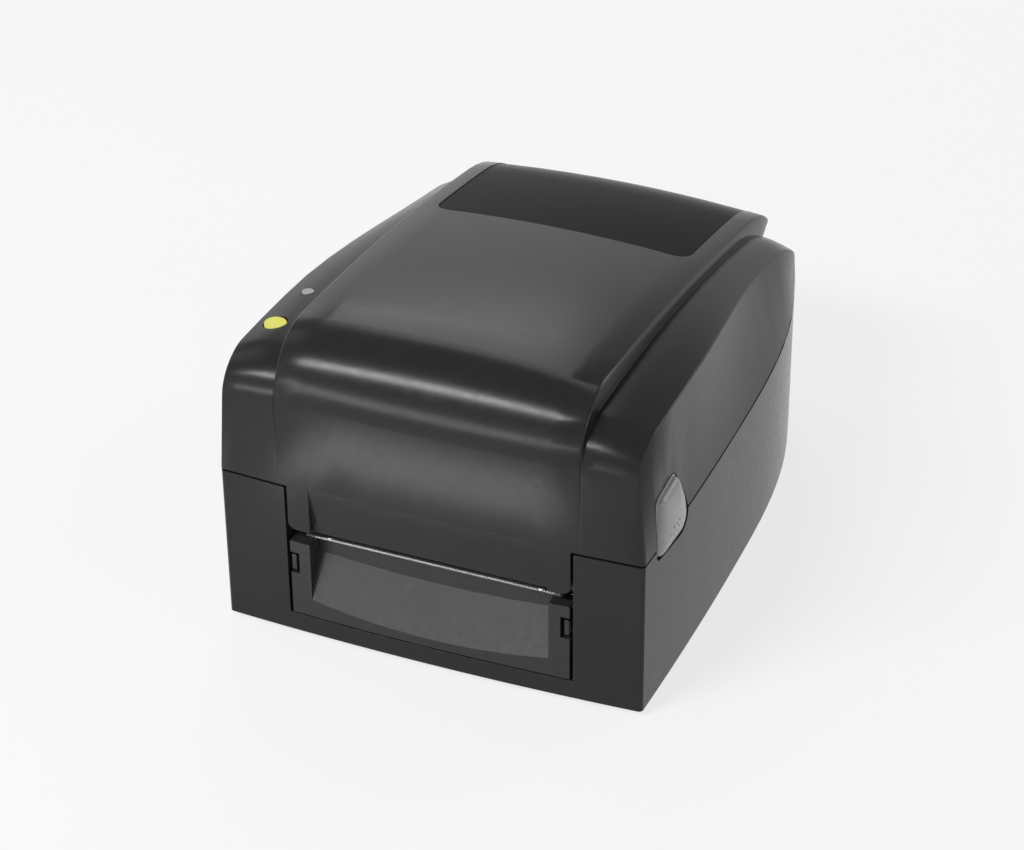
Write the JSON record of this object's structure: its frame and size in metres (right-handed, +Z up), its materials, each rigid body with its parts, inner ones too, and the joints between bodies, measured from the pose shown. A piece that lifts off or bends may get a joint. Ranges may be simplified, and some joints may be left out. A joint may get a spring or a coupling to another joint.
{
  "type": "thermal label printer",
  "caption": "Desktop thermal label printer with a bowed cover, side release buttons, a windowed top and a ribbon mechanism over the platen.",
  "frame": {"origin": "middle of the case in plan, on the surface the feet stand on", "axes": "+Z up, the label exit faces -Y, the right release button is at +X"},
  "size_m": [0.228, 0.285, 0.1709],
  "materials": {
    "shell": "fine texture, satin",
    "panel": "matt",
    "window": "gloss",
    "button_grey": "satin",
    "yellow": "satin",
    "steel": "brushed",
    "dark_metal": "matt",
    "rubber": "matt",
    "nylon": "satin",
    "brass": "satin",
    "board": "satin",
    "black_plastic": "satin"
  },
  "bodies": {
    "base": {"lower_case": "shell", "bottom_plate": "dark_metal", "bottom_screws": "steel", "rubber_feet": "rubber", "front_panel": "panel", "tear_bar": "steel", "media_bay": "panel", "feed_deck": "panel", "side_plate_left": "steel", "side_plate_right": "steel", "platen_bush_left": "brass", "platen_bush_right": "brass", "idler_stud": "steel", "drive_motor": "dark_metal", "sensor_rail": "steel", "main_board": "board", "power_inlet": "black_plastic", "switch_frame": "black_plastic", "usb_port": "steel", "serial_port": "steel", "network_port": "steel", "hinge_pins": "steel", "latch_pins": "steel", "mechanism_pivots": "steel"},
    "cover": {"cover_shell": "shell", "cover_window": "window", "cover_hinge_arms": "shell", "status_lens": "nylon", "control_board": "board"},
    "feed_button": {"feed_button": "yellow"},
    "mechanism": {"mechanism_frame": "dark_metal", "printhead": "black_plastic", "head_heatsink": "steel", "head_springs": "dark_metal", "ribbon_motor": "dark_metal"},
    "rewind": {"rewind_spindle": "nylon", "rewind_gear": "nylon"},
    "ribbon_idler": {"ribbon_idler": "nylon"},
    "ribbon_pinion": {"ribbon_pinion": "brass"},
    "supply": {"supply_spindle": "nylon"},
    "platen": {"platen_shaft": "steel", "platen_rubber": "rubber", "platen_gear": "nylon"},
    "idler": {"idler_gear": "nylon"},
    "pinion": {"motor_pinion": "brass"},
    "guide_left": {"guide_left": "panel"},
    "guide_right": {"guide_right": "panel"},
    "guide_pinion": {"guide_pinion": "nylon"},
    "sensor": {"label_sensor": "board"},
    "spindle": {"roll_spindle": "button_grey"},
    "core_disc": {"core_disc_sliding": "button_grey"},
    "rocker": {"power_rocker": "black_plastic"},
    "button_left": {"release_button_left": "button_grey"},
    "button_right": {"release_button_right": "button_grey"},
    "hook_left": {"latch_hook_left": "dark_metal"},
    "hook_right": {"latch_hook_right": "dark_metal"},
    "tab_left": {"panel_tab_left": "panel"},
    "tab_right": {"panel_tab_right": "panel"}
  },
  "joints": [
    {"name": "cover_hinge", "type": "hinge", "parent": "base", "child": "cover", "pos_m": [0, 0.139, 0.0916], "axis": [-1, 0, 0], "range_deg": [0, 80]},
    {"name": "mechanism_hinge", "type": "hinge", "parent": "base", "child": "mechanism", "pos_m": [0, 0.002, 0.084], "axis": [-1, 0, 0], "range_deg": [0, 36]},
    {"name": "platen_turn", "type": "hinge", "parent": "base", "child": "platen", "pos_m": [0, -0.122, 0.0536], "axis": [1, 0, 0], "continuous": true},
    {"name": "idler_turn", "type": "hinge", "parent": "base", "child": "idler", "pos_m": [0, -0.09649, 0.04416], "axis": [1, 0, 0], "continuous": true},
    {"name": "pinion_turn", "type": "hinge", "parent": "base", "child": "pinion", "pos_m": [0, -0.08, 0.029], "axis": [1, 0, 0], "continuous": true},
    {"name": "spindle_turn", "type": "hinge", "parent": "base", "child": "spindle", "pos_m": [0, 0.052, 0.076], "axis": [1, 0, 0], "continuous": true},
    {"name": "core_disc_slide", "type": "slide", "parent": "spindle", "child": "core_disc", "axis": [1, 0, 0], "range_m": [-0.06, 0]},
    {"name": "guide_left_slide", "type": "slide", "parent": "base", "child": "guide_left", "axis": [1, 0, 0], "range_m": [0, 0.035]},
    {"name": "guide_right_slide", "type": "slide", "parent": "base", "child": "guide_right", "axis": [-1, 0, 0], "range_m": [0, 0.035]},
    {"name": "guide_pinion_turn", "type": "hinge", "parent": "base", "child": "guide_pinion", "pos_m": [0, -0.0375, 0.05], "axis": [0, 0, 1], "range_deg": [0, 340]},
    {"name": "sensor_slide", "type": "slide", "parent": "base", "child": "sensor", "axis": [1, 0, 0], "range_m": [-0.04, 0.04]},
    {"name": "rocker_tilt", "type": "hinge", "parent": "base", "child": "rocker", "pos_m": [0.0445, 0.1335, 0.026], "axis": [1, 0, 0], "range_deg": [0, 14]},
    {"name": "button_left_press", "type": "slide", "parent": "base", "child": "button_left", "axis": [1, 0, 0], "range_m": [0, 0.003], "stiffness_N_per_m": 300},
    {"name": "button_right_press", "type": "slide", "parent": "base", "child": "button_right", "axis": [-1, 0, 0], "range_m": [0, 0.003], "stiffness_N_per_m": 300},
    {"name": "hook_left_tilt", "type": "hinge", "parent": "base", "child": "hook_left", "pos_m": [-0.092, -0.105, 0.06], "axis": [0, 1, 0], "range_deg": [0, 9.2], "stiffness_Nm_per_rad": 0.2},
    {"name": "hook_right_tilt", "type": "hinge", "parent": "base", "child": "hook_right", "pos_m": [0.092, -0.105, 0.06], "axis": [0, -1, 0], "range_deg": [0, 9.2], "stiffness_Nm_per_rad": 0.2},
    {"name": "tab_left_press", "type": "slide", "parent": "base", "child": "tab_left", "axis": [1, 0, 0], "range_m": [0, 0.0015], "stiffness_N_per_m": 250},
    {"name": "tab_right_press", "type": "slide", "parent": "base", "child": "tab_right", "axis": [-1, 0, 0], "range_m": [0, 0.0015], "stiffness_N_per_m": 250},
    {"name": "feed_button_press", "type": "slide", "parent": "cover", "child": "feed_button", "axis": [0, 0, -1], "range_m": [0, 0.001], "stiffness_N_per_m": 300},
    {"name": "rewind_turn", "type": "hinge", "parent": "mechanism", "child": "rewind", "pos_m": [0, -0.095, 0.112], "axis": [1, 0, 0], "continuous": true},
    {"name": "ribbon_idler_turn", "type": "hinge", "parent": "mechanism", "child": "ribbon_idler", "pos_m": [0, -0.07912, 0.09736], "axis": [1, 0, 0], "continuous": true},
    {"name": "ribbon_pinion_turn", "type": "hinge", "parent": "mechanism", "child": "ribbon_pinion", "pos_m": [0, -0.068, 0.096], "axis": [1, 0, 0], "continuous": true},
    {"name": "supply_turn", "type": "hinge", "parent": "mechanism", "child": "supply", "pos_m": [0, -0.04, 0.118], "axis": [1, 0, 0], "continuous": true}
  ],
  "couplings": [
    {"joint": "mechanism_hinge", "follows": "cover_hinge", "ratio": 0.45},
    {"joint": "idler_turn", "follows": "platen_turn", "ratio": -0.54546},
    {"joint": "pinion_turn", "follows": "platen_turn", "ratio": 2},
    {"joint": "guide_right_slide", "follows": "guide_left_slide", "ratio": 1},
    {"joint": "guide_pinion_turn", "follows": "guide_left_slide", "rad_per_m": 166.67},
    {"joint": "hook_left_tilt", "follows": "button_left_press", "rad_per_m": 52},
    {"joint": "hook_right_tilt", "follows": "button_right_press", "rad_per_m": 52},
    {"joint": "ribbon_idler_turn", "follows": "rewind_turn", "ratio": -2},
    {"joint": "ribbon_pinion_turn", "follows": "rewind_turn", "ratio": 3.6}
  ]
}
